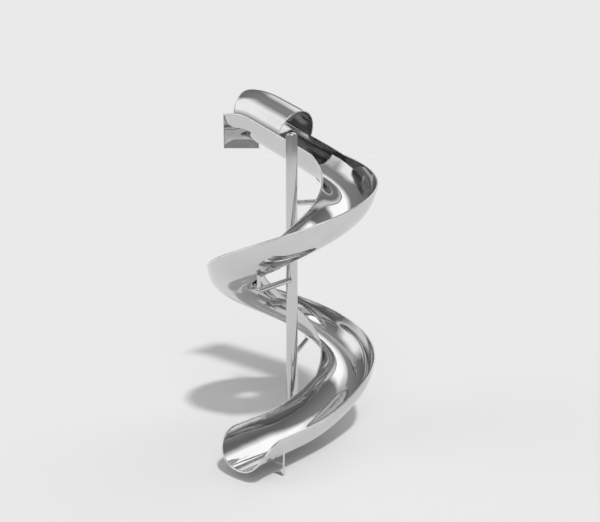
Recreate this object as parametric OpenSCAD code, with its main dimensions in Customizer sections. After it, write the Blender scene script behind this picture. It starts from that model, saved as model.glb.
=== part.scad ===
// Stainless steel spiral slide on one centre post: a half-round trough that leaves a deck
// under a short hood, winds once and a quarter round the post and runs out near the ground.
// Millimetres, +Z up. The origin is on the post's axis at the ground, +X is the way a rider
// sets off, and the coil falls clockwise seen from above.
// Places along the trough are given by "run", the distance in plan from the mouth.

/* [Deck and ground] */
// Height of the deck above the ground
deck_h = 3850; // [3400:10:4300]
// Height of the trough's rims above the deck at the mouth
mouth_rim_h = 513; // [500:1:560]
// Height of the trough's rims above the ground at the exit
exit_rim_h = 490; // [480:1:540]

/* [Trough] */
// Radius of the coil, from the post's axis to the trough's centreline
coil_r = 788; // [760:1:860]
// Radius of the half-round trough, to the middle of its sheet
trough_r = 370; // [350:1:380]
// Thickness of the trough's sheet
sheet_t = 3; // [2:0.5:4]
// Outside radius of the rim rails
rail_r = 12.5; // [11:0.5:15]
// Wall of the rim rails
rail_wall = 2; // [1.5:0.5:3]

/* [Straight ends] */
// Length in plan of the straight run from the mouth to the coil
entry_l = 1750; // [1700:10:1900]
// Fall of the straight run, as height over length
entry_grade = 0.435; // [0.38:0.005:0.46]
// Length in plan of the straight run from the coil to the lip
exit_l = 1850; // [1750:10:2000]
// Length over which the rims round down to the lip
lip_l = 350; // [300:10:400]

/* [Hood] */
// Run at the hood's upper end
hood_start = 221; // [180:1:300]
// Run at the hood's lower end
hood_end = 1121; // [1000:1:1200]
// Height of the hood's crown above the rails
hood_rise = 376; // [360:1:420]
// Radius of the beads along the hood's two edges
bead_r = 8; // [6:0.5:9]

/* [Post] */
// Outside diameter of the centre post
post_d = 159; // [140:1:180]
// Wall of the centre post
post_wall = 5; // [4:0.5:8]
// Height of the post's top above the deck
post_above_deck = 216; // [180:1:240]
// Side of the square base plate
base_side = 420; // [400:10:460]
// Thickness of the base plate
base_t = 16; // [12:1:20]
// Spacing of the base plate's anchor holes
base_pitch = 320; // [300:10:340]
// Radius of the base plate's anchor holes
base_hole_r = 11; // [9:0.5:12]

/* [Arms] */
// Outside diameter of the support arms
arm_d = 76; // [60:1:90]
// Distance from the post's axis to the end of an arm
arm_reach = 980; // [900:5:1020]

/* [Entry] */
// Depth of the returns folded along the mouth plate's two upright edges
return_w = 15; // [10:1:25]
// Width of the flange at the mouth plate's foot, which is screwed down to the deck
flange_w = 60; // [50:1:80]
// Spacing of the two screw holes in the flange
flange_pitch = 500; // [400:10:600]
// Radius of the screw holes in the flange
flange_hole_r = 6; // [5:0.5:7]

/* [Exit feet] */
// Distance of each leg from the trough's centreline
leg_offset = 320; // [300:1:330]
// Width of the flat bar that the legs are cut from
leg_w = 28; // [20:1:50]
// Length of a foot plate
foot_l = 140; // [120:5:150]

/* [Hidden] */
$fn = 64;

// Facets across the half round, round a rail, and along a bend
trough_sides = 14;
rail_sides = 8;
bend_steps = 8;

// The coil: its whole turn, the azimuth of the uppermost seam and the turn of one bend
coil_turn = 450;
first_seam = 78;
bend_turn = 160 / 3;

// The arms: azimuth, and drop from the underside of the trough to the arm's axis
arm_azimuth = [78, -76, -242];
arm_drop = [152, 173, 179];

// Plan lengths of the stretches over which the fall changes
level_l = 160;
crest_l = 410;
blend_l = 300;
ease_l = 1000;
steady_l = entry_l - level_l - crest_l - blend_l;
coil_l = coil_r * coil_turn * PI / 180;
whole_l = entry_l + coil_l + exit_l;

// Fall of the coil, from the height that is left for it
mouth_rim_z = deck_h + mouth_rim_h;
coil_grade = (mouth_rim_z - exit_rim_h - entry_grade * (crest_l / 2 + steady_l + blend_l / 2))
    / (blend_l / 2 + coil_l + ease_l / 2);

// Each stretch: its length in plan, and the grade at its start and its end
stretches = [
    [level_l, 0, 0],
    [crest_l, 0, entry_grade],
    [steady_l, entry_grade, entry_grade],
    [blend_l, entry_grade, coil_grade],
    [coil_l, coil_grade, coil_grade],
    [ease_l, coil_grade, 0],
    [exit_l - ease_l, 0, 0]];

// Small sizes
plate_t = 4;
saddle_t = 6;
saddle_half_l = 50;
web_t = 8;
leg_t = 6;
foot_w = 44;
foot_t = 8;
brace_z = 140;
brace_h = 20;
arm_wall = 4;
arm_cap_h = 20;
post_cap_h = 50;
rail_flat = rail_r * cos(180 / rail_sides);
edge_gap = rail_flat + 0.4;
trough_out = trough_r + sheet_t / 2;
leg_y = -1410;

function clamp_to(value, low, high) = min(max(value, low), high);
function unit(v) = v / norm(v);
function quad(a, b, c, d) = [[a, b, c], [a, c, d]];
function steps(low, high, count) = [for (k = [0:count]) low + (high - low) * k / count];

// Height lost from the mouth to a run, and the grade there
function fall(run, i = 0) =
    let (s = stretches[i])
    run <= s[0] || i == len(stretches) - 1
        ? s[1] * run + (s[2] - s[1]) * run * run / (2 * s[0])
        : (s[1] + s[2]) / 2 * s[0] + fall(run - s[0], i + 1);
function grade(run, i = 0) =
    let (s = stretches[i])
    run <= s[0] || i == len(stretches) - 1
        ? s[1] + (s[2] - s[1]) * clamp_to(run / s[0], 0, 1)
        : grade(run - s[0], i + 1);

// The trough's own directions at a run: heading, outward from the coil, and down its section
function heading(run) = -clamp_to(run - entry_l, 0, coil_l) / coil_r * 180 / PI;
function outward(run) = [-sin(heading(run)), cos(heading(run)), 0];
function below(run) =
    let (h = heading(run), a = atan(grade(run)))
    [-cos(h) * sin(a), -sin(h) * sin(a), -cos(a)];
function run_at(azimuth) = entry_l + coil_r * (90 - azimuth) * PI / 180;

// The middle between the two rims
function rim_z(run) = mouth_rim_z - fall(run);
function rim_middle(run) =
    run < entry_l ? [run - entry_l, coil_r, rim_z(run)]
    : run < entry_l + coil_l
        ? [coil_r * cos(90 + heading(run)), coil_r * sin(90 + heading(run)), rim_z(run)]
    : [coil_r, entry_l + coil_l - run, rim_z(run)];

// A point on the section: angle 0 is the outer rim, 90 the bottom, 180 the inner rim
function radial(run, angle) = cos(angle) * outward(run) + sin(angle) * below(run);
function on_wall(run, angle, r) = rim_middle(run) + r * radial(run, angle);
edge_angle = asin(edge_gap / trough_r);

// A sheet between an outer and an inner grid of points, one row of points for each step along it
module sheet(outer, inner, ring = false) {
    rows = len(outer);
    cols = len(outer[0]);
    last = ring ? cols - 1 : cols - 2;
    function o(k, i) = k * 2 * cols + i % cols;
    function n(k, i) = o(k, i) + cols;
    sides = [for (k = [0:rows - 2]) for (i = [0:last]) each concat(
        quad(o(k, i), o(k, i + 1), o(k + 1, i + 1), o(k + 1, i)),
        quad(n(k, i), n(k + 1, i), n(k + 1, i + 1), n(k, i + 1)))];
    ends = [for (i = [0:last]) each concat(
        quad(o(0, i), n(0, i), n(0, i + 1), o(0, i + 1)),
        quad(o(rows - 1, i), o(rows - 1, i + 1), n(rows - 1, i + 1), n(rows - 1, i)))];
    edges = ring ? [] : [for (k = [0:rows - 2]) each concat(
        quad(o(k, 0), o(k + 1, 0), n(k + 1, 0), n(k, 0)),
        quad(o(k, cols - 1), n(k, cols - 1), n(k + 1, cols - 1), o(k + 1, cols - 1)))];
    polyhedron([for (k = [0:rows - 1]) each concat(outer[k], inner[k])],
        concat(sides, ends, edges));
}

// A tube along a line of points, with a direction square to the line given at each point
module tube(line, square_to, r, wall) {
    last = len(line) - 1;
    tangent = [for (k = [0:last]) unit(line[min(k + 1, last)] - line[max(k - 1, 0)])];
    side = [for (k = [0:last]) unit(cross(square_to[k], tangent[k]))];
    front = [for (k = [0:last]) cross(tangent[k], side[k])];
    turn = 180 / rail_sides;
    function circle_at(k, radius) = [for (i = [0:rail_sides - 1])
        let (a = turn * (2 * i + 1))
        line[k] + radius * (cos(a) * front[k] + sin(a) * side[k])];
    sheet([for (k = [0:last]) circle_at(k, r)], [for (k = [0:last]) circle_at(k, r - wall)], true);
}

// One row across the half round, from edge to edge
function trough_row(run, edge, r) =
    [for (a = steps(edge, 180 - edge, trough_sides)) on_wall(run, a, r)];

module trough(runs) {
    sheet([for (s = runs) trough_row(s, edge_angle, trough_r + sheet_t / 2)],
        [for (s = runs) trough_row(s, edge_angle, trough_r - sheet_t / 2)]);
}

module rail(runs, side) {
    tube([for (s = runs) rim_middle(s) + side * trough_r * outward(s)],
        [for (s = runs) outward(s)], rail_r, rail_wall);
}

// Turns +Z to a direction at a point
module aim(point, direction) {
    v = unit(direction);
    translate(point)
        rotate([0, acos(v.z), atan2(v.y, v.x)])
            children();
}

// Runs of the seams, and of the stations between them
function seam(i) = run_at(first_seam - bend_turn * i);
entry_runs = concat([plate_t], steps(level_l, level_l + crest_l, 6), steps(1000, entry_l, 3), [seam(0)]);
function bend_runs(i) = steps(seam(i), seam(i + 1), bend_steps);
lip_run = whole_l - lip_l;
coil_end = entry_l + coil_l;
exit_runs = concat(steps(seam(7), coil_end, 9), steps(coil_end + ease_l / 6, coil_end + ease_l, 5));
upper_runs = concat(bend_runs(0), steps(seam(1), seam(2), bend_steps), bend_runs(2));

// The lip: the rim line falls as a quarter ellipse, which the angle "turn" steps through
function lip_angle(turn) = asin(1 - cos(turn));
function lip_line(turn) = lip_run + lip_l * sin(turn);
// The sheet's edge there, held back from the middle of the bead
function lip_edge(turn) =
    let (along = lip_l * cos(turn), across = trough_r * sin(turn) / cos(lip_angle(turn)))
    let (size = norm([along, across]))
    [lip_line(turn) - edge_gap * across / size,
        lip_angle(turn) + edge_gap * along / size / trough_r * 180 / PI];
lip_turns = [0, 20, 38, 54, 68, 78, 86];
bead_turns = [0, 15, 30, 45, 58, 70, 80, 90];

// Centre post

module base_plate() {
    color("lightslategray")
        difference() {
            translate([-base_side / 2, -base_side / 2, 0])
                cube([base_side, base_side, base_t]);
            for (x = [-1, 1], y = [-1, 1])
                translate([x * base_pitch / 2, y * base_pitch / 2, -1])
                    cylinder(r = base_hole_r, h = base_t + 2);
        }
}

module base_gussets() {
    gusset_w = 100;
    gusset_h = 150;
    nose = 15;
    color("lightslategray")
        for (a = [0:90:270])
            rotate([90, 0, a])
                translate([post_d / 2, base_t, -web_t / 2])
                    linear_extrude(web_t)
                        polygon([[0, 0], [gusset_w, 0], [gusset_w, nose], [nose, gusset_h], [0, gusset_h]]);
}

post_top = deck_h + post_above_deck;

module post_tube() {
    tube_top = post_top - post_cap_h;
    color("silver")
        difference() {
            translate([0, 0, base_t])
                cylinder(d = post_d, h = tube_top - base_t);
            translate([0, 0, base_t - 1])
                cylinder(d = post_d - 2 * post_wall, h = tube_top - base_t + 2);
        }
}

// A domed cap: a quarter ellipse turned round the Z axis
module dome(r, h, wall) {
    function arc(radius, height) = [for (a = [0:5:90]) [radius * cos(a), height * sin(a)]];
    inner = arc(r - wall, h - wall);
    rotate_extrude()
        polygon(concat(arc(r, h), [for (i = [len(inner) - 1:-1:0]) inner[i]]));
}

module post_cap() {
    color("silver")
        translate([0, 0, post_top - post_cap_h])
            dome(post_d / 2, post_cap_h, post_wall);
}

// Arms and saddles

function arm_run(i) = run_at(arm_azimuth[i]);
function underside_z(i) = rim_z(arm_run(i)) - trough_out / cos(atan(coil_grade));
function arm_z(i) = underside_z(i) - arm_drop[i];

module arm_place(i) {
    translate([0, 0, arm_z(i)])
        rotate([0, 90, arm_azimuth[i]])
            children();
}

module arm(i) {
    color("silver")
        difference() {
            arm_place(i)
                difference() {
                    cylinder(d = arm_d, h = arm_reach - arm_cap_h);
                    translate([0, 0, -1])
                        cylinder(d = arm_d - 2 * arm_wall, h = arm_reach);
                }
            translate([0, 0, arm_z(i) - arm_d])
                cylinder(d = post_d, h = 2 * arm_d);
        }
}

module arm_cap(i) {
    color("white")
        arm_place(i)
            translate([0, 0, arm_reach - arm_cap_h])
                dome(arm_d / 2, arm_cap_h, arm_wall);
}

// Upright plate between an arm and its saddle plate, cut to the curve of the trough
module saddle_web(i) {
    top_r = trough_out + saddle_t + 1;
    low_z = arm_z(i) + arm_d / 2 - 1;
    reach = [for (d = steps(92, 172, 8)) d];
    function top_z(d) = rim_z(arm_run(i)) - sqrt(top_r * top_r - d * d) / cos(atan(coil_grade));
    color("silver")
        rotate([90, 0, arm_azimuth[i]])
            translate([coil_r, 0, -web_t / 2])
                linear_extrude(web_t)
                    polygon(concat([for (d = reach) [d, top_z(d)]],
                        [[reach[8], low_z], [reach[0], low_z]]));
}

// Curved plate that the trough lies in
saddle_low = 52;
module saddle_plate(i) {
    middle = arm_run(i);
    runs = steps(middle - saddle_half_l, middle + saddle_half_l, 2);
    function row(run, r) = [for (a = steps(saddle_low, 180 - saddle_low, 6)) on_wall(run, a, r)];
    color("silver")
        sheet([for (s = runs) row(s, trough_out + saddle_t)], [for (s = runs) row(s, trough_out)]);
}

module saddle_nuts() {
    nut_r = 9;
    nut_h = 9;
    color("gainsboro")
        for (i = [0:2], along = [-30, 30], angle = [64, 116])
            let (s = arm_run(i) + along)
            aim(on_wall(s, angle, trough_out + saddle_t - 0.5), radial(s, angle))
                cylinder(r = nut_r, h = nut_h, $fn = 6);
}

// Trough, rails and lip

module entry_chute() {
    color("silver")
        trough(entry_runs);
}

module bend(i) {
    color("silver")
        trough(bend_runs(i));
}

module exit_chute() {
    lip_rows = [for (turn = lip_turns) lip_edge(turn)];
    function rows(r) = concat([for (s = exit_runs) trough_row(s, edge_angle, r)],
        [for (e = lip_rows) trough_row(e[0], e[1], r)]);
    color("silver")
        sheet(rows(trough_r + sheet_t / 2), rows(trough_r - sheet_t / 2));
}

// A rail in four lengths: to the first saddle, between saddles, and on to the lip
rail_runs = [
    entry_runs,
    steps(seam(0), seam(3), 3 * bend_steps),
    steps(seam(3), seam(6), 3 * bend_steps),
    concat(steps(seam(6), coil_end, 17), steps(coil_end + ease_l / 6, coil_end + ease_l, 5), [lip_run])];

module outer_rail(i) {
    color("gainsboro")
        rail(rail_runs[i], 1);
}

module inner_rail(i) {
    color("gainsboro")
        rail(rail_runs[i], -1);
}

module lip_bead() {
    down = [for (t = bead_turns) [lip_line(t), lip_angle(t)]];
    up = [for (k = [len(down) - 2:-1:0]) [down[k][0], 180 - down[k][1]]];
    line = concat(down, up);
    color("gainsboro")
        tube([for (p = line) on_wall(p[0], p[1], trough_r)],
            [for (p = line) radial(p[0], p[1])], rail_r, rail_wall);
}

// Hood

// A point on the hood's section: angle 0 is the outer foot, 90 the crown, 180 the inner foot
function on_hood(run, angle, swell) =
    rim_middle(run) + (trough_r + swell) * cos(angle) * outward(run)
        - (rail_flat + (hood_rise + swell) * sin(angle)) * below(run);

module hood_shell() {
    inset = bead_r * cos(180 / rail_sides);
    runs = concat([hood_start + inset], steps(330, 570, 3), steps(810, hood_end - inset, 1));
    function row(run, swell) = [for (a = steps(180, 0, trough_sides)) on_hood(run, a, swell)];
    color("silver")
        sheet([for (s = runs) row(s, sheet_t / 2)], [for (s = runs) row(s, -sheet_t / 2)]);
}

module hood_bead(run) {
    foot = 2;
    angles = steps(180 - foot, foot, trough_sides);
    color("gainsboro")
        tube([for (a = angles) on_hood(run, a, 0)],
            [for (a = angles) on_hood(run, a, 1) - on_hood(run, a, 0)], bead_r, rail_wall);
}

// Entry

// The upright plate at the mouth, with the trough cut out of it, a return folded forward along
// each side below the rail, and a flange folded forward at its foot
module entry_plate() {
    half_w = trough_r + rail_flat;
    opening_r = trough_r - sheet_t / 2;
    return_h = mouth_rim_h - 2 * rail_r;
    color("silver")
        translate([-entry_l, coil_r, 0]) {
            rotate([90, 0, 90])
                linear_extrude(plate_t)
                    difference() {
                        translate([-half_w, deck_h])
                            square([2 * half_w, mouth_rim_h + rail_r]);
                        translate([0, mouth_rim_z])
                            circle(r = opening_r, $fn = 180);
                        translate([-opening_r, mouth_rim_z])
                            square([2 * opening_r, 2 * rail_r]);
                    }
            for (y = [-half_w, half_w - plate_t])
                translate([0, y, deck_h])
                    cube([return_w, plate_t, return_h]);
            translate([0, 0, deck_h])
                difference() {
                    translate([0, -half_w, 0])
                        cube([flange_w, 2 * half_w, plate_t]);
                    for (side = [-1, 1])
                        translate([flange_w / 2 + plate_t / 2, side * flange_pitch / 2, -1])
                            cylinder(r = flange_hole_r, h = plate_t + 2);
                }
        }
}

// Exit feet

exit_bottom_z = exit_rim_h - trough_out;
function flank_z(x) = exit_rim_h - sqrt(trough_out * trough_out - x * x);

module exit_leg(side) {
    inner_x = leg_offset - leg_t;
    color("gainsboro")
        translate([coil_r, leg_y + leg_w / 2, 0])
            mirror([side > 0 ? 0 : 1, 0, 0])
                rotate([90, 0, 0])
                    linear_extrude(leg_w)
                        polygon([[inner_x, foot_t], [leg_offset, foot_t],
                            [leg_offset, flank_z(leg_offset)], [inner_x, flank_z(inner_x)]]);
}

module exit_foot(side) {
    hole_pitch = 70;
    hole_r = 7;
    color("gainsboro")
        translate([coil_r + side * (leg_offset - foot_l / 2), leg_y, 0])
            difference() {
                translate([-foot_l / 2, -foot_w / 2, 0])
                    cube([foot_l, foot_w, foot_t]);
                for (x = [-1, 1])
                    translate([x * hole_pitch / 2 - side * 10, 0, -1])
                        cylinder(r = hole_r, h = foot_t + 2);
            }
}

// Flat bar from each leg to the trough's flank
module exit_brace(side) {
    low = brace_z - brace_h / 2;
    high = brace_z + brace_h / 2;
    function flank_x(z) = sqrt(trough_out * trough_out - (exit_rim_h - z) * (exit_rim_h - z));
    color("dimgray")
        translate([coil_r, leg_y + leg_t / 2, 0])
            mirror([side > 0 ? 0 : 1, 0, 0])
                rotate([90, 0, 0])
                    linear_extrude(leg_t)
                        polygon([[flank_x(low), low], [leg_offset - leg_t, low],
                            [leg_offset - leg_t, high], [flank_x(high), high],
                            [flank_x(brace_z), brace_z]]);
}

base_plate();
base_gussets();
post_tube();
post_cap();
arm(0);  // arm_upper
arm(1);  // arm_middle
arm(2);  // arm_lower
arm_cap(0);  // arm_cap_upper
arm_cap(1);  // arm_cap_middle
arm_cap(2);  // arm_cap_lower
saddle_web(0);  // saddle_web_upper
saddle_web(1);  // saddle_web_middle
saddle_web(2);  // saddle_web_lower
saddle_plate(0);  // saddle_plate_upper
saddle_plate(1);  // saddle_plate_middle
saddle_plate(2);  // saddle_plate_lower
saddle_nuts();
entry_chute();
bend(0);  // bend_1
bend(1);  // bend_2
bend(2);  // bend_3
bend(3);  // bend_4
bend(4);  // bend_5
bend(5);  // bend_6
bend(6);  // bend_7
exit_chute();
outer_rail(0);  // outer_rail_entry
outer_rail(1);  // outer_rail_upper
outer_rail(2);  // outer_rail_middle
outer_rail(3);  // outer_rail_lower
inner_rail(0);  // inner_rail_entry
inner_rail(1);  // inner_rail_upper
inner_rail(2);  // inner_rail_middle
inner_rail(3);  // inner_rail_lower
lip_bead();
hood_shell();
hood_bead(hood_start);  // hood_bead_upper
hood_bead(hood_end);  // hood_bead_lower
entry_plate();
exit_leg(1);  // exit_leg_left
exit_leg(-1);  // exit_leg_right
exit_foot(1);  // exit_foot_left
exit_foot(-1);  // exit_foot_right
exit_brace(1);  // exit_brace_left
exit_brace(-1);  // exit_brace_right
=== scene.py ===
import math

import bmesh
import bpy
import numpy as np
from mathutils import Euler, Matrix, Vector


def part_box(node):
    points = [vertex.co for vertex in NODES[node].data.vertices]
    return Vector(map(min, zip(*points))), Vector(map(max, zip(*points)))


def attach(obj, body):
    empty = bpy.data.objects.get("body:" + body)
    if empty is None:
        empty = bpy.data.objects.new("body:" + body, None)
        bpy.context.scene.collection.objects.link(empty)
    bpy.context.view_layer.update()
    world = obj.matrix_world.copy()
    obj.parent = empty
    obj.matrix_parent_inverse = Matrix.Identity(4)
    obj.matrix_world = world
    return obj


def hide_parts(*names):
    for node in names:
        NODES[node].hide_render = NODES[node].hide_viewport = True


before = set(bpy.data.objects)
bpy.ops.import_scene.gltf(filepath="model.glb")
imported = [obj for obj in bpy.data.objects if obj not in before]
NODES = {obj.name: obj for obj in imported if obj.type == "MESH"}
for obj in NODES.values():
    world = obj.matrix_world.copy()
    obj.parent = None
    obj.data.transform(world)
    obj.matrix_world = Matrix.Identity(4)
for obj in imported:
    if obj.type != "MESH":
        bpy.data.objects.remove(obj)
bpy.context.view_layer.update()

# ---------------------------------------------------------------------------
# Driving dimensions, in metres. Places come from the frame; sheet and tube
# sizes are the slide's own.
# ---------------------------------------------------------------------------
RAIL_R = 0.0125
RAIL_FLAT = RAIL_R * math.cos(math.pi / 8)
SHEET_T = 0.003
ENTRY_GRADE = 0.435
COIL_TURN = math.radians(450)
FIRST_SEAM = math.radians(78)
BEND_TURN = math.radians(160) / 3
LIP_L = 0.350
LEVEL_L, CREST_L, BLEND_L, EASE_L = 0.160, 0.410, 0.300, 1.000

plate_low, plate_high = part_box("entry_plate")
lip_low, lip_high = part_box("lip_bead")
DECK_Z = plate_low.z
PLATE_T = 0.004
ENTRY_L = -plate_low.x
COIL_R = (plate_low.y + plate_high.y) / 2
MOUTH_RIM_Z = plate_high.z - RAIL_R
TROUGH_R = (lip_high.x - lip_low.x) / 2 - RAIL_FLAT
EXIT_RIM_Z = lip_high.z - RAIL_FLAT
EXIT_L = -lip_low.y - RAIL_FLAT

COIL_L = COIL_R * COIL_TURN
COIL_END = ENTRY_L + COIL_L
WHOLE_L = COIL_END + EXIT_L
LIP_RUN = WHOLE_L - LIP_L
STEADY_L = ENTRY_L - LEVEL_L - CREST_L - BLEND_L
COIL_GRADE = (MOUTH_RIM_Z - EXIT_RIM_Z - ENTRY_GRADE * (CREST_L / 2 + STEADY_L + BLEND_L / 2)) / (
    BLEND_L / 2 + COIL_L + EASE_L / 2)
STRETCHES = (
    (LEVEL_L, 0, 0),
    (CREST_L, 0, ENTRY_GRADE),
    (STEADY_L, ENTRY_GRADE, ENTRY_GRADE),
    (BLEND_L, ENTRY_GRADE, COIL_GRADE),
    (COIL_L, COIL_GRADE, COIL_GRADE),
    (EASE_L, COIL_GRADE, 0),
)
STEP = 0.02
AROUND = 72


# ---------------------------------------------------------------------------
# The trough's path. A run is the distance in plan from the mouth.
# ---------------------------------------------------------------------------
def fall_and_grade(run):
    run = np.asarray(run, float)
    fall = np.zeros_like(run)
    grade = np.zeros_like(run)
    start = 0.0
    for length, first, last in STRETCHES:
        part = np.clip(run - start, 0, length)
        fall += first * part + (last - first) * part ** 2 / (2 * length)
        inside = (run >= start) & (run <= start + length)
        grade = np.where(inside, first + (last - first) * part / length, grade)
        start += length
    return fall, grade


def section_frame(run):
    """The middle between the rims, and the unit vectors outward from the coil and down the section."""
    run = np.asarray(run, float)
    fall, grade = fall_and_grade(run)
    turn = np.clip(run - ENTRY_L, 0, COIL_L) / COIL_R
    slope = np.arctan(grade)
    x = np.where(run < ENTRY_L, run - ENTRY_L, COIL_R * np.sin(turn))
    y = np.where(run < ENTRY_L, COIL_R, COIL_R * np.cos(turn))
    x = np.where(run > COIL_END, COIL_R, x)
    y = np.where(run > COIL_END, COIL_END - run, y)
    middle = np.stack([x, y, MOUTH_RIM_Z - fall], -1)
    outward = np.stack([np.sin(turn), np.cos(turn), 0 * turn], -1)
    below = np.stack([-np.cos(turn) * np.sin(slope), np.sin(turn) * np.sin(slope), -np.cos(slope)], -1)
    return middle, outward, below


def run_at(azimuth):
    return ENTRY_L + COIL_R * (math.pi / 2 - azimuth)


def radial(run, angle):
    _, outward, below = section_frame(run)
    return np.cos(angle)[..., None] * outward + np.sin(angle)[..., None] * below


def on_wall(run, angle, radius):
    middle, _, _ = section_frame(run)
    return middle + radius * radial(run, angle)


# ---------------------------------------------------------------------------
# Mesh building
# ---------------------------------------------------------------------------
def unit(v):
    return v / np.linalg.norm(v, axis=-1, keepdims=True)


def quads(rows, cols, start, flip=False, wrap=False):
    """Quads over a grid of vertices, row by row."""
    k, i = np.meshgrid(np.arange(rows - 1), np.arange(cols if wrap else cols - 1), indexing="ij")
    j = (i + 1) % cols
    faces = np.stack([k * cols + i, (k + 1) * cols + i, (k + 1) * cols + j, k * cols + j], -1)
    faces = faces.reshape(-1, 4) + start
    return faces[:, ::-1] if flip else faces


def make_object(name, verts, faces, loop_normals=None, sharp=30):
    mesh = bpy.data.meshes.new(name)
    mesh.from_pydata([tuple(v) for v in verts], [], [tuple(int(i) for i in f) for f in faces])
    mesh.shade_smooth()
    if loop_normals is not None:
        mesh.normals_split_custom_set([tuple(n) for n in loop_normals])
    else:
        mesh.set_sharp_from_angle(angle=math.radians(sharp))
    piece = bpy.data.objects.new(name, mesh)
    bpy.context.scene.collection.objects.link(piece)
    return piece


def thick_sheet(name, outer, inner, normal):
    """A closed sheet between two grids; normal points from the inner grid to the outer one."""
    rows, cols, _ = outer.shape
    count = rows * cols
    verts = np.concatenate([outer.reshape(-1, 3), inner.reshape(-1, 3)])
    skins = [quads(rows, cols, 0), quads(rows, cols, count, flip=True)]
    vert_normal = np.concatenate([normal.reshape(-1, 3), -normal.reshape(-1, 3)])
    border = []
    for line in (np.arange(rows) * cols, np.arange(rows)[::-1] * cols + cols - 1):
        border.append(np.stack([line[:-1], line[:-1] + count, line[1:] + count, line[1:]], -1))
    for line in (np.arange(cols)[::-1], np.arange(cols) + (rows - 1) * cols):
        border.append(np.stack([line[:-1], line[:-1] + count, line[1:] + count, line[1:]], -1))
    border = np.concatenate(border)
    corner = verts[border[:, 0]]
    edge_normal = unit(np.cross(verts[border[:, 1]] - corner, verts[border[:, 3]] - corner))
    skin = np.concatenate(skins)
    faces = np.concatenate([skin, border])
    loops = np.concatenate([vert_normal[skin].reshape(-1, 3), np.repeat(edge_normal, 4, axis=0)])
    return make_object(name, verts, faces, loops)


def tube(name, line, square_to, radius, sides=20):
    """A round bar along a line; square_to gives a direction square to the line at each point."""
    tangent = unit(np.gradient(line, axis=0))
    side = unit(np.cross(square_to, tangent))
    front = np.cross(tangent, side)
    a = np.arange(sides) * 2 * math.pi / sides
    around = np.cos(a)[None, :, None] * front[:, None] + np.sin(a)[None, :, None] * side[:, None]
    grid = line[:, None] + radius * around
    rows = len(line)
    skin = quads(rows, sides, 0, wrap=True)
    verts = grid.reshape(-1, 3)
    faces = [tuple(f) for f in skin]
    loops = list(around.reshape(-1, 3)[skin].reshape(-1, 3))
    for ring, flip, sign in ((np.arange(sides), False, -1), (np.arange(sides) + (rows - 1) * sides, True, 1)):
        faces.append(tuple(ring[::-1] if flip else ring))
        row = 0 if sign < 0 else rows - 1
        loops += [sign * tangent[row]] * sides
    return make_object(name, verts, faces, loops)


def stations(start, end):
    return np.linspace(start, end, max(3, int(round((end - start) / STEP)) + 1))


def wall_normal(run, angle):
    """The exact outward normal of the trough's outer face."""
    h = 1e-4
    radius = TROUGH_R
    along = on_wall(run + h, angle, radius) - on_wall(run - h, angle, radius)
    across = on_wall(run, angle + h, radius) - on_wall(run, angle - h, radius)
    return unit(np.cross(along, across))


EDGE = math.asin((RAIL_FLAT - 0.001) / TROUGH_R)


def trough_piece(name, runs, edges=None):
    edges = np.full(len(runs), EDGE) if edges is None else edges
    share = np.linspace(0, 1, AROUND + 1)
    angle = edges[:, None] + (math.pi - 2 * edges[:, None]) * share[None]
    run = np.repeat(runs[:, None], AROUND + 1, axis=1)
    normal = wall_normal(run, angle)
    middle = on_wall(run, angle, TROUGH_R)
    facing = np.sign((normal * radial(run, angle)).sum(-1))[..., None]
    normal = normal * facing
    half = SHEET_T / 2
    return thick_sheet(name, middle + half * normal, middle - half * normal, normal)


def seam(i):
    return run_at(FIRST_SEAM - BEND_TURN * i)


painted = []


def keep(node, piece, slot):
    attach(piece, "root")
    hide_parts(node)
    painted.append((piece, slot))
    return piece


# Trough
keep("entry_chute", trough_piece("entry_trough", stations(PLATE_T, seam(0))), "sheet_steel")
for i in range(7):
    keep(f"bend_{i + 1}", trough_piece(f"bend_trough_{i + 1}", stations(seam(i), seam(i + 1))), "sheet_steel")


def lip_point(turn):
    return LIP_RUN + LIP_L * np.sin(turn), np.arcsin(1 - np.cos(turn))


def exit_trough():
    straight = stations(seam(7), LIP_RUN)
    turn = np.radians(np.concatenate([np.arange(4, 84, 4), [84, 86, 87.5, 88.5]]))
    run, angle = lip_point(turn)
    along, across = LIP_L * np.cos(turn), TROUGH_R * np.sin(turn) / np.cos(angle)
    size = np.hypot(along, across)
    gap = RAIL_FLAT - 0.001
    runs = np.concatenate([straight, run - gap * across / size])
    edges = np.concatenate([np.full(len(straight), EDGE), angle + gap * along / size / TROUGH_R])
    return trough_piece("exit_trough", runs, edges)


keep("exit_chute", exit_trough(), "sheet_steel")


# Rails and lip bead
def rail_piece(name, start, end, side):
    runs = stations(start, end)
    middle, outward, _ = section_frame(runs)
    return tube(name, middle + side * TROUGH_R * outward, outward, RAIL_FLAT)


RAIL_ENDS = {"entry": (PLATE_T, seam(0)), "upper": (seam(0), seam(3)), "middle": (seam(3), seam(6)),
             "lower": (seam(6), LIP_RUN)}
for label, (start, end) in RAIL_ENDS.items():
    for side_name, side in (("outer", 1), ("inner", -1)):
        rail = rail_piece(f"{side_name}_tube_{label}", start, end, side)
        keep(f"{side_name}_rail_{label}", rail, "rail_steel")


def lip_piece():
    turn = np.radians(np.linspace(0, 90, 61))
    run, angle = lip_point(turn)
    run = np.concatenate([run, run[-2::-1]])
    angle = np.concatenate([angle, math.pi - angle[-2::-1]])
    return tube("lip_tube", on_wall(run, angle, TROUGH_R), radial(run, angle), RAIL_FLAT)


keep("lip_bead", lip_piece(), "rail_steel")

# Hood
BEAD_R = 0.008
HOOD_START, HOOD_END = 0.221, 1.121
HOOD_RISE = 0.376


def on_hood(run, angle, swell=0.0):
    middle, outward, below = section_frame(run)
    return (middle + ((TROUGH_R + swell) * np.cos(angle))[..., None] * outward
            - (RAIL_FLAT + (HOOD_RISE + swell) * np.sin(angle))[..., None] * below)


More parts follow.
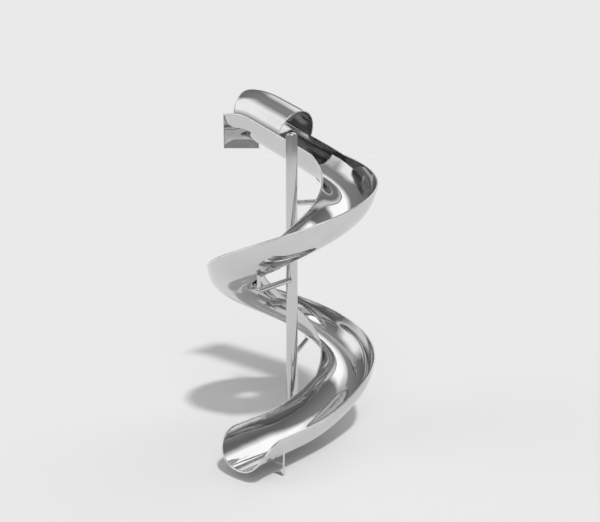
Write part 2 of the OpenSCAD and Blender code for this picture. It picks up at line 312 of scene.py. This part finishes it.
def hood_piece():
    runs = stations(HOOD_START, HOOD_END)
    angle = np.linspace(math.pi, 0, AROUND + 1)
    run, angle = np.meshgrid(runs, angle, indexing="ij")
    h = 1e-4
    along = on_hood(run + h, angle) - on_hood(run - h, angle)
    across = on_hood(run, angle + h) - on_hood(run, angle - h)
    normal = unit(np.cross(along, across))
    out = on_hood(run, angle, 0.001) - on_hood(run, angle)
    normal = normal * np.sign((normal * out).sum(-1))[..., None]
    middle = on_hood(run, angle)
    return thick_sheet("hood_arch", middle + SHEET_T / 2 * normal, middle - SHEET_T / 2 * normal, normal)


hood = keep("hood_shell", hood_piece(), "sheet_steel")


def hood_bead(name, run):
    angle = np.radians(np.linspace(178, 2, 91))
    run = np.full(len(angle), run)
    return tube(name, on_hood(run, angle), on_hood(run, angle, 0.001) - on_hood(run, angle), BEAD_R)


keep("hood_bead_upper", hood_bead("hood_edge_upper", HOOD_START), "rail_steel")
keep("hood_bead_lower", hood_bead("hood_edge_lower", HOOD_END), "rail_steel")


# Post, arms and saddles
POST_R = (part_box("post_tube")[1].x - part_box("post_tube")[0].x) / 2
POST_WALL = 0.005
ARM_R, ARM_WALL, ARM_REACH, ARM_CAP_H = 0.038, 0.004, 0.980, 0.020
SADDLE_T, SADDLE_HALF_L, SADDLE_LOW = 0.006, 0.050, 52
ARMS = {"upper": 78, "middle": -76, "lower": -242}


def turned(name, rings, at=(0, 0, 0), tilt=(0, 0, 0), sides=96, sharp=30):
    """A closed turning from a closed outline of (radius, height) points, stood at a place and tilted."""
    a = np.arange(sides) * 2 * math.pi / sides
    r, h = np.array(rings + rings[:1]).T
    grid = np.stack([r[:, None] * np.cos(a), r[:, None] * np.sin(a), np.repeat(h[:, None], sides, 1)], -1)
    stand = Matrix.Translation(at) @ Euler(tilt).to_matrix().to_4x4()
    verts = [stand @ Vector(v) for v in grid[:-1].reshape(-1, 3)]
    faces = quads(len(r), sides, 0, flip=True, wrap=True) % len(verts)
    return make_object(name, verts, faces, sharp=sharp)


def dome_rings(radius, height, wall):
    """A domed cap with a shallow weld groove round its foot."""
    turn = np.radians(np.arange(10, 90, 4))
    outer = [(radius, 0), (radius, 0.003), (radius - 0.0012, 0.0045), (radius, 0.006)]
    outer += [(radius * math.cos(t), height * math.sin(t)) for t in turn if height * math.sin(t) > 0.007]
    outer.append((0.0001, height))
    inner = [((radius - wall) * math.cos(t), (height - wall) * math.sin(t)) for t in turn[::-1]]
    return outer + [(0.0001, height - wall)] + inner + [(radius - wall, 0)]


def post_pieces():
    low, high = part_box("post_tube")
    edge, inner = 0.0008, POST_R - POST_WALL
    heights = list(np.linspace(low.z + edge, high.z - edge, 60))
    rings = [(inner, low.z), (POST_R - edge, low.z)] + [(POST_R, h) for h in heights]
    rings += [(POST_R - edge, high.z), (inner, high.z)]
    keep("post_tube", turned("post", rings), "tube_steel")
    low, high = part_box("post_cap")
    cap_rings = dome_rings(POST_R, high.z - low.z, POST_WALL)
    keep("post_cap", turned("post_dome", cap_rings, (0, 0, low.z)), "tube_steel")


def arm_pieces(label, azimuth):
    low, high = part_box(f"arm_{label}")
    height = (low.z + high.z) / 2
    turn = math.radians(azimuth)
    a = np.arange(72) * 2 * math.pi / 72
    end = ARM_REACH - ARM_CAP_H
    to_world = np.array(Matrix.Rotation(turn, 3, "Z"))

    def ring(radius, reach):
        return np.stack([reach, radius * np.cos(a), radius * np.sin(a)], -1)

    def foot(radius, past=0.0):
        return np.sqrt(POST_R ** 2 - (radius * np.cos(a)) ** 2) + past

    rows = [ring(ARM_R, foot(ARM_R) * (1 - share) + (end - 0.0008) * share)
            for share in np.linspace(0, 1, 40)]
    rows += [ring(ARM_R - 0.0008, np.full(72, end)), ring(ARM_R - ARM_WALL, np.full(72, end)),
             ring(ARM_R - ARM_WALL, foot(ARM_R - ARM_WALL))]
    grid = np.stack(rows) @ to_world.T + (0, 0, height)
    count = len(rows) * 72
    faces = quads(len(rows) + 1, 72, 0, flip=True, wrap=True) % count
    keep(f"arm_{label}", make_object(f"arm_bar_{label}", grid.reshape(-1, 3), faces), "tube_steel")
    keep(f"arm_cap_{label}", turned(f"arm_dome_{label}", dome_rings(ARM_R, ARM_CAP_H, ARM_WALL),
                                    (end * math.cos(turn), end * math.sin(turn), height),
                                    (0, math.pi / 2, turn), 72), "tube_steel")
    # Weld bead round the arm's foot, laid in overlapping ripples
    b = np.linspace(0, 2 * math.pi, 241)[:-1]
    path = np.stack([np.sqrt(POST_R ** 2 - (ARM_R * np.cos(b)) ** 2) + 0.0012,
                     (ARM_R + 0.0005) * np.cos(b), (ARM_R + 0.0005) * np.sin(b)], -1)
    tangent = unit(np.roll(path, -1, 0) - np.roll(path, 1, 0))
    out = unit(np.stack([0 * b, np.cos(b), np.sin(b)], -1))
    side = np.cross(out, tangent)
    c = np.arange(10) * 2 * math.pi / 10
    size = 0.0034 + 0.0005 * np.abs(np.sin(30 * b))
    bead = path[:, None] + size[:, None, None] * (np.cos(c)[None, :, None] * out[:, None]
                                                  + np.sin(c)[None, :, None] * side[:, None])
    bead = bead @ to_world.T + (0, 0, height)
    bead_faces = quads(241, 10, 0, wrap=True) % (240 * 10)
    weld = make_object(f"arm_weld_{label}", bead.reshape(-1, 3), bead_faces, sharp=60)
    keep(f"arm_{label}", weld, "tube_steel")


def saddle_plate_piece(label, azimuth):
    middle = run_at(math.radians(azimuth))
    runs = np.linspace(middle - SADDLE_HALF_L, middle + SADDLE_HALF_L, 17)
    angle = np.radians(np.linspace(SADDLE_LOW, 180 - SADDLE_LOW, 49))
    run, angle = np.meshgrid(runs, angle, indexing="ij")
    normal = wall_normal(run, angle)
    normal = normal * np.sign((normal * radial(run, angle)).sum(-1))[..., None]
    under = TROUGH_R + SHEET_T / 2
    inner = on_wall(run, angle, under)
    outer = inner + (SADDLE_T - 0.0002) * normal
    keep(f"saddle_plate_{label}", thick_sheet(f"saddle_band_{label}", outer, inner,
                                              normal), "tube_steel")


def nut_rings(sides=72):
    """Domed nut seen from its axis: a hexagon below that runs into a round dome."""
    a = np.arange(sides) * 2 * math.pi / sides
    flat = math.cos(math.pi / 6) / np.cos((a + math.pi / 6) % (math.pi / 3) - math.pi / 6)
    flat = np.minimum(flat, 0.985)
    rows = [(0.9985 * flat, 0.0), (flat, 0.03), (flat, 0.50), (np.minimum(flat, 0.90), 0.60)]
    rows += [(np.full(sides, 0.80 * math.cos(t)), 0.60 + 0.40 * math.sin(t))
             for t in np.radians(np.arange(0, 86, 9))]
    return a, rows


def saddle_nuts_piece():
    nut_r, nut_h = 0.009, 0.009
    a, rows = nut_rings()
    verts, faces = [], []
    for azimuth in ARMS.values():
        for along in (-0.030, 0.030):
            for angle in (math.radians(64), math.radians(116)):
                run = run_at(math.radians(azimuth)) + along
                axis = radial(np.array(run), np.array(angle))
                foot = on_wall(np.array(run), np.array(angle), TROUGH_R + SHEET_T / 2 + SADDLE_T - 0.0005)
                across = unit(np.cross(axis, (0.0, 0.0, 1.0)))
                up = np.cross(axis, across)
                grid = [foot + nut_h * h * axis
                        + nut_r * r[:, None] * (np.cos(a)[:, None] * across + np.sin(a)[:, None] * up)
                        for r, h in rows]
                start = len(verts)
                verts += list(np.concatenate(grid))
                faces += [tuple(f) for f in quads(len(rows), len(a), start, wrap=True)]
                last = start + (len(rows) - 1) * len(a)
                faces += [tuple(range(last, last + len(a))), tuple(range(start, start + len(a)))[::-1]]
    keep("saddle_nuts", make_object("domed_nuts", verts, faces, sharp=28), "rail_steel")


def softened(node, name, slot, width, segments=2):
    """The CAD piece with its sharp edges rounded, and normals weighted so that its flats stay flat."""
    shape = bmesh.new()
    shape.from_mesh(NODES[node].data)
    shape.transform(NODES[node].matrix_world)
    bmesh.ops.remove_doubles(shape, verts=shape.verts, dist=1e-6)
    bmesh.ops.dissolve_limit(shape, angle_limit=math.radians(1), verts=shape.verts, edges=shape.edges)
    edges = [e for e in shape.edges if len(e.link_faces) == 2 and e.calc_face_angle() > math.radians(40)]
    bmesh.ops.bevel(shape, geom=edges, offset=width, segments=segments, profile=0.5, affect="EDGES",
                    clamp_overlap=True)
    normals = {}
    for vert in shape.verts:
        total = Vector()
        for face in vert.link_faces:
            total += face.normal * face.calc_area()
        normals[vert.index] = total.normalized() if total.length else vert.normal
    mesh = bpy.data.meshes.new(name)
    shape.to_mesh(mesh)
    shape.free()
    mesh.shade_smooth()
    weighted = []
    for face in mesh.polygons:
        for index in face.vertices:
            turned_away = normals[index].dot(face.normal) < 0.3
            weighted.append(tuple(face.normal if turned_away else normals[index]))
    mesh.normals_split_custom_set(weighted)
    piece = bpy.data.objects.new(name, mesh)
    bpy.context.scene.collection.objects.link(piece)
    return keep(node, piece, slot)


post_pieces()
for label, azimuth in ARMS.items():
    arm_pieces(label, azimuth)
    saddle_plate_piece(label, azimuth)
    softened(f"saddle_web_{label}", f"saddle_rib_{label}", "tube_steel", 0.0008)
saddle_nuts_piece()
softened("base_plate", "footing_plate", "galvanised_steel", 0.0015)
softened("base_gussets", "footing_ribs", "galvanised_steel", 0.0010)
softened("entry_plate", "mouth_plate", "sheet_steel", 0.0010)
for side in ("left", "right"):
    softened(f"exit_leg_{side}", f"leg_bar_{side}", "foot_steel", 0.0009)
    softened(f"exit_foot_{side}", f"leg_foot_{side}", "foot_steel", 0.0012)
    softened(f"exit_brace_{side}", f"leg_brace_{side}", "foot_steel", 0.0009)


# ---------------------------------------------------------------------------
# Materials
# ---------------------------------------------------------------------------
class Steel:
    """A metal whose tint, roughness and relief all come from procedural noise in the piece's own space."""

    def __init__(self, name):
        self.material = bpy.data.materials.new(name)
        self.material.use_nodes = True
        self.tree = self.material.node_tree
        self.shader = self.tree.nodes["Principled BSDF"]
        self.shader.inputs["Metallic"].default_value = 1
        self.place = self.tree.nodes.new("ShaderNodeTexCoord").outputs["Object"]
        self.relief = None

    def stretched(self, scale):
        """The piece's coordinates, scaled along each axis."""
        node = self.tree.nodes.new("ShaderNodeMapping")
        node.inputs["Scale"].default_value = scale
        self.tree.links.new(self.place, node.inputs["Vector"])
        return node.outputs[0]

    def noise(self, scale, detail=3.0, spread=(1, 1, 1), distortion=0.0):
        node = self.tree.nodes.new("ShaderNodeTexNoise")
        node.inputs["Scale"].default_value = scale
        node.inputs["Detail"].default_value = detail
        node.inputs["Distortion"].default_value = distortion
        self.tree.links.new(self.stretched(spread), node.inputs["Vector"])
        return node.outputs["Fac"]

    def spangle(self, scale):
        node = self.tree.nodes.new("ShaderNodeTexVoronoi")
        node.inputs["Scale"].default_value = scale
        self.tree.links.new(self.place, node.inputs["Vector"])
        split = self.tree.nodes.new("ShaderNodeSeparateColor")
        self.tree.links.new(node.outputs["Color"], split.inputs[0])
        return split.outputs[0]

    def spread(self, value, low, high, to_low, to_high):
        """Maps a range of a value to another one."""
        node = self.tree.nodes.new("ShaderNodeMapRange")
        for socket, number in zip(("From Min", "From Max", "To Min", "To Max"), (low, high, to_low, to_high)):
            node.inputs[socket].default_value = number
        self.tree.links.new(value, node.inputs["Value"])
        return node.outputs[0]

    def tint(self, value, low, high):
        """Base colour between two tints."""
        node = self.tree.nodes.new("ShaderNodeValToRGB")
        first, last = node.color_ramp.elements
        first.position, first.color = 0.35, (*low, 1)
        last.position, last.color = 0.65, (*high, 1)
        self.tree.links.new(value, node.inputs[0])
        self.tree.links.new(node.outputs[0], self.shader.inputs["Base Color"])

    def rough(self, *values):
        """Roughness as the sum of some values."""
        total = values[0]
        for value in values[1:]:
            node = self.tree.nodes.new("ShaderNodeMath")
            self.tree.links.new(total, node.inputs[0])
            self.tree.links.new(value, node.inputs[1])
            total = node.outputs[0]
        self.tree.links.new(total, self.shader.inputs["Roughness"])

    def bump(self, value, height):
        """Adds relief of a height in metres."""
        node = self.tree.nodes.new("ShaderNodeBump")
        node.inputs["Strength"].default_value = 1
        node.inputs["Distance"].default_value = height
        self.tree.links.new(value, node.inputs["Height"])
        if self.relief:
            self.tree.links.new(self.relief, node.inputs["Normal"])
        self.relief = node.outputs[0]
        self.tree.links.new(self.relief, self.shader.inputs["Normal"])


def sheet_finish():
    metal = Steel("sheet_steel")
    metal.tint(metal.noise(2.3, 4), (0.64, 0.64, 0.645), (0.69, 0.69, 0.695))
    smudge = metal.spread(metal.noise(5.0, 5, distortion=0.6), 0.35, 0.75, 0.030, 0.075)
    grain = metal.spread(metal.noise(260, 2, (1, 1, 0.12)), 0.3, 0.7, 0.0, 0.018)
    metal.rough(smudge, grain)
    metal.bump(metal.noise(4.5, 2), 0.0016)
    metal.bump(metal.noise(420, 2, (1, 1, 0.10)), 0.000004)
    return metal.material


def hood_shade_finish():
    metal = Steel("painted_shade_steel")
    # Painted shade: the dark grey tint and half-metallic shader paint the shade inside the hood into its
    # inner face
    metal.shader.inputs["Metallic"].default_value = 0.5
    metal.shader.inputs["Specular IOR Level"].default_value = 0.3
    metal.tint(metal.noise(2.8, 4), (0.17, 0.17, 0.165), (0.26, 0.255, 0.245))
    metal.rough(metal.spread(metal.noise(9, 5, distortion=0.6), 0.35, 0.7, 0.05, 0.13))
    metal.bump(metal.noise(4.5, 2), 0.0012)
    return metal.material


def rail_finish():
    metal = Steel("rail_steel")
    metal.tint(metal.noise(7, 3), (0.82, 0.82, 0.82), (0.88, 0.88, 0.885))
    metal.rough(metal.spread(metal.noise(30, 4), 0.3, 0.7, 0.20, 0.30))
    metal.bump(metal.noise(160, 2), 0.00005)
    return metal.material


def tube_finish():
    metal = Steel("tube_steel")
    metal.tint(metal.noise(3.1, 4, (1, 1, 0.4)), (0.60, 0.60, 0.60), (0.66, 0.66, 0.655))
    metal.rough(metal.spread(metal.noise(9, 5, (1, 1, 0.2)), 0.35, 0.7, 0.05, 0.11),
                metal.spread(metal.noise(330, 2, (0.1, 0.1, 1)), 0.3, 0.7, 0.0, 0.02))
    metal.bump(metal.noise(3.5, 2, (1, 1, 0.5)), 0.0006)
    metal.bump(metal.noise(500, 2, (0.1, 0.1, 1)), 0.000006)
    return metal.material


def foot_finish():
    metal = Steel("foot_steel")
    metal.tint(metal.noise(14, 4), (0.72, 0.73, 0.735), (0.80, 0.81, 0.815))
    metal.rough(metal.spread(metal.noise(400, 3, (1, 1, 0.06)), 0.3, 0.7, 0.30, 0.44))
    metal.bump(metal.noise(600, 2, (1, 1, 0.06)), 0.00004)
    return metal.material


def galvanised_finish():
    metal = Steel("galvanised_steel")
    metal.tint(metal.spangle(70), (0.50, 0.52, 0.53), (0.63, 0.65, 0.66))
    metal.rough(metal.spread(metal.spangle(70), 0.0, 1.0, 0.36, 0.56))
    metal.bump(metal.noise(90, 4), 0.00025)
    return metal.material


FINISHES = {"sheet_steel": sheet_finish(), "rail_steel": rail_finish(), "tube_steel": tube_finish(),
            "foot_steel": foot_finish(), "galvanised_steel": galvanised_finish()}
for piece, slot in painted:
    piece.data.materials.clear()
    piece.data.materials.append(FINISHES[slot])
# Painted shade: the hood's inside face takes a darker, duller steel that stands in for the shade inside the
# hood; the outside stays polished
hood.data.materials.append(hood_shade_finish())
skin = (len(stations(HOOD_START, HOOD_END)) - 1) * AROUND
for face in hood.data.polygons[skin:2 * skin]:
    face.material_index = 1

# ---------------------------------------------------------------------------
# Floor, light and camera
# ---------------------------------------------------------------------------
scene = bpy.context.scene
scene.view_settings.view_transform = "Standard"

world = bpy.data.worlds.new("studio")
world.use_nodes = True
scene.world = world
sky = world.node_tree
sky.nodes.clear()


def sky_node(kind, **values):
    node = sky.nodes.new(kind)
    for name, value in values.items():
        setattr(node, name, value)
    return node


def sky_math(operation, *values, clamp=False):
    node = sky_node("ShaderNodeMath", operation=operation, use_clamp=clamp)
    for socket, value in zip(node.inputs, values):
        if isinstance(value, bpy.types.NodeSocket):
            sky.links.new(value, socket)
        else:
            socket.default_value = value
    return node.outputs[0]


direction = sky_node("ShaderNodeTexCoord").outputs["Generated"]
axes = sky_node("ShaderNodeSeparateXYZ")
sky.links.new(direction, axes.inputs[0])
azimuth = sky_math("DEGREES", sky_math("ARCTAN2", axes.outputs["Y"], axes.outputs["X"]))
elevation = sky_math("DEGREES", sky_math("ARCSINE", axes.outputs["Z"]))


def ramp(value, low, high, stops):
    node = sky_node("ShaderNodeValToRGB")
    band = node.color_ramp
    band.elements[0].position = 0
    band.elements[1].position = 1
    while len(band.elements) < len(stops):
        band.elements.new(0.5)
    for element, (at, colour) in zip(band.elements, stops):
        element.position = (at - low) / (high - low)
        element.color = (*colour, 1)
    share = sky_math("DIVIDE", sky_math("SUBTRACT", value, low), high - low, clamp=True)
    sky.links.new(share, node.inputs[0])
    return node.outputs[0]


def between(value, low, high, soft):
    rise = sky_math("DIVIDE", sky_math("SUBTRACT", value, low - soft / 2), soft, clamp=True)
    drop = sky_math("DIVIDE", sky_math("SUBTRACT", high + soft / 2, value), soft, clamp=True)
    return sky_math("MULTIPLY", rise, drop)


def softbox(below, bright, turn, height):
    """Lays a broad, soft-edged patch of light over the sky. turn and height are ranges in degrees."""
    mask = sky_math("MULTIPLY", between(azimuth, *turn, BOX_EDGE), between(elevation, *height, BOX_EDGE))
    mix = sky_node("ShaderNodeMix", data_type="RGBA")
    sky.links.new(mask, mix.inputs["Factor"])
    sky.links.new(below, mix.inputs["A"])
    mix.inputs["B"].default_value = (bright, bright, bright, 1)
    return mix.outputs["Result"]


# A plain studio: grey walls, a paler ceiling, and a key, a fill and a back softbox
BOX_EDGE = 18
GREYS = ((-90, 0.30), (0, 0.30), (25, 0.16), (90, 0.36))
light = ramp(elevation, -90, 90, [(height, (grey, grey, grey)) for height, grey in GREYS])
SOFTBOXES = ((1.7, (-75, -10), (25, 65)), (1.2, (-160, -115), (10, 60)), (1.4, (60, 125), (30, 70)))
for bright, turn, height in SOFTBOXES:
    light = softbox(light, bright, turn, height)

lit = sky_node("ShaderNodeBackground")
sky.links.new(light, lit.inputs["Color"])
# The camera sees a backdrop as pale as the floor
BACKDROP = 0.82
backdrop = sky_node("ShaderNodeBackground")
backdrop.inputs["Color"].default_value = (1, 1, 1, 1)
backdrop.inputs["Strength"].default_value = BACKDROP
seen = sky_node("ShaderNodeLightPath")
choice = sky_node("ShaderNodeMixShader")
sky.links.new(seen.outputs["Is Camera Ray"], choice.inputs[0])
sky.links.new(lit.outputs[0], choice.inputs[1])
sky.links.new(backdrop.outputs[0], choice.inputs[2])
out = sky_node("ShaderNodeOutputWorld")
sky.links.new(choice.outputs[0], out.inputs["Surface"])

SUNLIGHT = Vector((-0.506, 0.250, -1))
sun_data = bpy.data.lights.new("sun", "SUN")
sun_data.energy = 2.0
sun_data.angle = math.radians(5.0)
sun = bpy.data.objects.new("sun", sun_data)
sun.rotation_euler = SUNLIGHT.to_track_quat("-Z", "Y").to_euler()
sun.visible_glossy = False
scene.collection.objects.link(sun)

FLOOR_R, FLOOR_PAINT = 400.0, 0.7
floor_mesh = bpy.data.meshes.new("floor")
floor_edge = [(FLOOR_R * math.cos(a), FLOOR_R * math.sin(a), 0) for a in np.radians(np.arange(0, 360, 3))]
floor_mesh.from_pydata(floor_edge, [], [tuple(range(len(floor_edge)))])
floor = bpy.data.objects.new("floor", floor_mesh)
scene.collection.objects.link(floor)
floor_paint = bpy.data.materials.new("floor_paint")
floor_paint.use_nodes = True
floor_shader = floor_paint.node_tree.nodes["Principled BSDF"]
floor_shader.inputs["Base Color"].default_value = (FLOOR_PAINT, FLOOR_PAINT, FLOOR_PAINT, 1)
floor_shader.inputs["Roughness"].default_value = 1
floor_shader.inputs["Specular IOR Level"].default_value = 0
floor_mesh.materials.append(floor_paint)

CAMERA_AZIMUTH = math.radians(41.3)
CAMERA_DISTANCE = 10.0
CAMERA_PITCH = math.radians(8.76)
CAMERA_TURN = math.radians(0.65)
SENSOR_MM, LENS_MM = 36, 43.908

camera_data = bpy.data.cameras.new("camera")
camera_data.lens = LENS_MM
camera_data.sensor_width = SENSOR_MM
camera = bpy.data.objects.new("camera", camera_data)
camera.location = (CAMERA_DISTANCE * math.sin(CAMERA_AZIMUTH),
                   -CAMERA_DISTANCE * math.cos(CAMERA_AZIMUTH), DECK_Z)
camera.rotation_euler = (math.pi / 2 - CAMERA_PITCH, 0, CAMERA_AZIMUTH - CAMERA_TURN)
scene.collection.objects.link(camera)
scene.camera = camera
